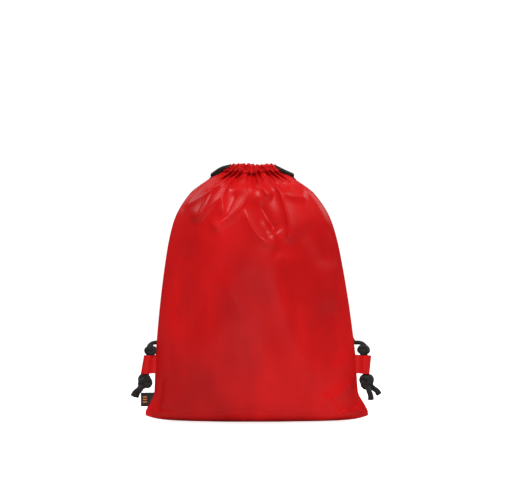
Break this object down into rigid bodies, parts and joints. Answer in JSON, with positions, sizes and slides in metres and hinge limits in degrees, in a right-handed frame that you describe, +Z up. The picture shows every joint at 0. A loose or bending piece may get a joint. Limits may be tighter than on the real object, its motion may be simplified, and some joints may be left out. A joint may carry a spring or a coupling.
{
  "type": "drawstring backpack",
  "caption": "Drawstring backpack in coated cloth, stuffed full: gathered hem channel at the mouth, doubled cord straps, knotted side tabs and a folded seam label.",
  "frame": {"origin": "centre of the flat bottom, on the plane of the side seams", "axes": "+Z up, the front faces -Y, +X is the right-hand side seen from the front"},
  "size_m": [0.3836, 0.1745, 0.3915],
  "materials": {
    "shell_cloth": "shiny coated nylon",
    "cord_braid": "matte braided cord",
    "thread": "satin sewing thread",
    "label_weave": "fine woven ribbon"
  },
  "bodies": {
    "bag": {"front_panel": "shell_cloth", "back_panel": "shell_cloth", "left_seam_allowance": "shell_cloth", "right_seam_allowance": "shell_cloth", "bottom_seam_allowance": "shell_cloth", "back_cord_channel": "shell_cloth", "back_channel_stitching": "thread", "left_cord_rear_run": "cord_braid", "right_cord_rear_run": "cord_braid", "left_cord_bight": "cord_braid", "right_cord_bight": "cord_braid", "left_cord_front_lead": "cord_braid", "left_cord_rear_lead": "cord_braid", "right_cord_front_lead": "cord_braid", "right_cord_rear_lead": "cord_braid"},
    "front_lip": {"front_cord_channel": "shell_cloth", "front_channel_stitching": "thread", "left_cord_front_run": "cord_braid", "right_cord_front_run": "cord_braid"},
    "label": {"woven_label": "label_weave"},
    "left_strap": {"left_strap_front_strand": "cord_braid", "left_strap_rear_strand": "cord_braid"},
    "left_tab": {"left_tab_loop": "shell_cloth", "left_tab_bartack": "thread", "left_tab_cord": "cord_braid", "left_upper_knot": "cord_braid", "left_lower_knot": "cord_braid"},
    "left_front_tail": {"left_front_tail": "cord_braid"},
    "left_rear_tail": {"left_rear_tail": "cord_braid"},
    "right_strap": {"right_strap_front_strand": "cord_braid", "right_strap_rear_strand": "cord_braid"},
    "right_tab": {"right_tab_loop": "shell_cloth", "right_tab_bartack": "thread", "right_tab_cord": "cord_braid", "right_upper_knot": "cord_braid", "right_lower_knot": "cord_braid"},
    "right_front_tail": {"right_front_tail": "cord_braid"},
    "right_rear_tail": {"right_rear_tail": "cord_braid"}
  },
  "joints": [
    {"name": "mouth_open", "type": "slide", "parent": "bag", "child": "front_lip", "axis": [0, -1, 0], "range_m": [0, 0.045]},
    {"name": "label_flap", "type": "hinge", "parent": "bag", "child": "label", "pos_m": [-0.1595, 0, 0.03275], "axis": [0, 0, 1], "range_deg": [0, 75]},
    {"name": "left_strap_swing", "type": "hinge", "parent": "bag", "child": "left_strap", "pos_m": [-0.16562, 0, 0.1095], "axis": [0.3448, 0.0323, 0.9381], "range_deg": [0, 80]},
    {"name": "left_tab_flap", "type": "hinge", "parent": "bag", "child": "left_tab", "pos_m": [-0.15587, 0, 0.0865], "axis": [0, 0, 1], "range_deg": [-30, 30]},
    {"name": "left_front_tail_swing", "type": "hinge", "parent": "left_tab", "child": "left_front_tail", "pos_m": [-0.17036, 0, 0.06], "axis": [0, 1, 0], "range_deg": [0, 30], "stiffness_Nm_per_rad": 0.0003},
    {"name": "left_rear_tail_swing", "type": "hinge", "parent": "left_tab", "child": "left_rear_tail", "pos_m": [-0.17036, 0, 0.06], "axis": [0, 1, 0], "range_deg": [0, 30], "stiffness_Nm_per_rad": 0.0003},
    {"name": "right_strap_swing", "type": "hinge", "parent": "bag", "child": "right_strap", "pos_m": [0.16189, 0, 0.1095], "axis": [0.3766, -0.0319, -0.9258], "range_deg": [0, 80]},
    {"name": "right_tab_flap", "type": "hinge", "parent": "bag", "child": "right_tab", "pos_m": [0.15213, 0, 0.0865], "axis": [0, 0, 1], "range_deg": [-30, 30]},
    {"name": "right_front_tail_swing", "type": "hinge", "parent": "right_tab", "child": "right_front_tail", "pos_m": [0.16664, 0, 0.06], "axis": [0, -1, 0], "range_deg": [-10, 30], "stiffness_Nm_per_rad": 0.0003},
    {"name": "right_rear_tail_swing", "type": "hinge", "parent": "right_tab", "child": "right_rear_tail", "pos_m": [0.16664, 0, 0.06], "axis": [0, -1, 0], "range_deg": [-10, 30], "stiffness_Nm_per_rad": 0.0003}
  ]
}
